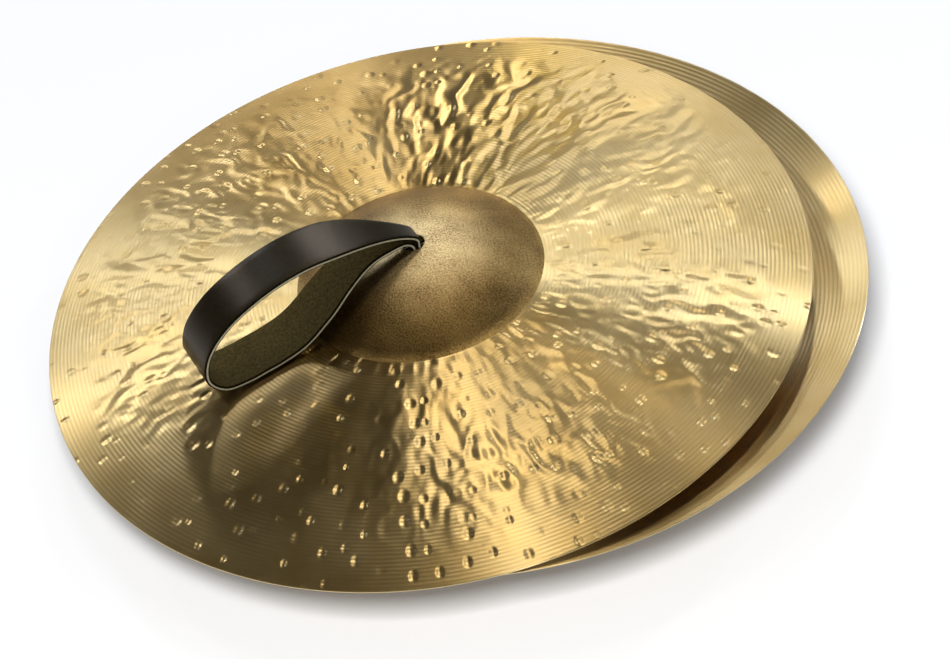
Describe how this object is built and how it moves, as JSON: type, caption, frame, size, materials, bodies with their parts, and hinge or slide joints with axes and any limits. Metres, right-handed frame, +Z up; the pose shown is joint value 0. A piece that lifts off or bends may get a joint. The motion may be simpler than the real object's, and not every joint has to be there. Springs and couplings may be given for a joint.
{
  "type": "pair of clash cymbals",
  "caption": "Pair of hand cymbals lying face to face: hammered and lathed bronze plates, each with a leather hand loop knotted through the hole in its bell.",
  "frame": {"origin": "on the table, under the middle of the pair's outline", "axes": "+Z up; +X the way the lower cymbal is shifted from under the upper one; -Y towards the viewer"},
  "size_m": [0.4884, 0.4572, 0.1465],
  "materials": {
    "lathed_bronze": "cast bronze, hammered and lathed, raw at the bell",
    "strap_leather": "dark leather, smooth grain side out, pale cut edges",
    "tail_leather": "dark leather, suede side showing"
  },
  "bodies": {
    "lower_cymbal": {"lower_cymbal": "lathed_bronze"},
    "lower_knot": {"lower_strap_neck_1": "strap_leather", "lower_strap_neck_2": "strap_leather", "lower_knot_tail_1": "tail_leather", "lower_knot_tail_2": "tail_leather", "lower_knot_tail_3": "tail_leather", "lower_knot_tail_4": "tail_leather"},
    "lower_loop": {"lower_strap_loop": "strap_leather"},
    "upper_cymbal": {"upper_cymbal": "lathed_bronze"},
    "upper_knot": {"upper_strap_neck_1": "strap_leather", "upper_strap_neck_2": "strap_leather", "upper_knot_tail_1": "tail_leather", "upper_knot_tail_2": "tail_leather", "upper_knot_tail_3": "tail_leather", "upper_knot_tail_4": "tail_leather"},
    "upper_loop": {"upper_strap_loop": "strap_leather"}
  },
  "joints": [
    {"name": "upper_lift_off", "type": "slide", "parent": "lower_cymbal", "child": "upper_cymbal", "axis": [0, 0, 1], "range_m": [0, 0.3]},
    {"name": "lower_strap_swivel", "type": "hinge", "parent": "lower_cymbal", "child": "lower_knot", "pos_m": [0.01563, 0, 0.00315], "axis": [0, 0, 1], "continuous": true},
    {"name": "lower_strap_tip", "type": "hinge", "parent": "lower_knot", "child": "lower_loop", "pos_m": [0.01563, 0, 0.00315], "axis": [0, -1, 0], "range_deg": [0, 165]},
    {"name": "upper_strap_swivel", "type": "hinge", "parent": "upper_cymbal", "child": "upper_knot", "pos_m": [-0.01872, 0, 0.1182], "axis": [-0.0494, 0, 0.9988], "continuous": true},
    {"name": "upper_strap_tip", "type": "hinge", "parent": "upper_knot", "child": "upper_loop", "pos_m": [-0.01872, 0, 0.1182], "axis": [-0.2887, 0.9573, -0.0143], "range_deg": [0, 130]}
  ]
}
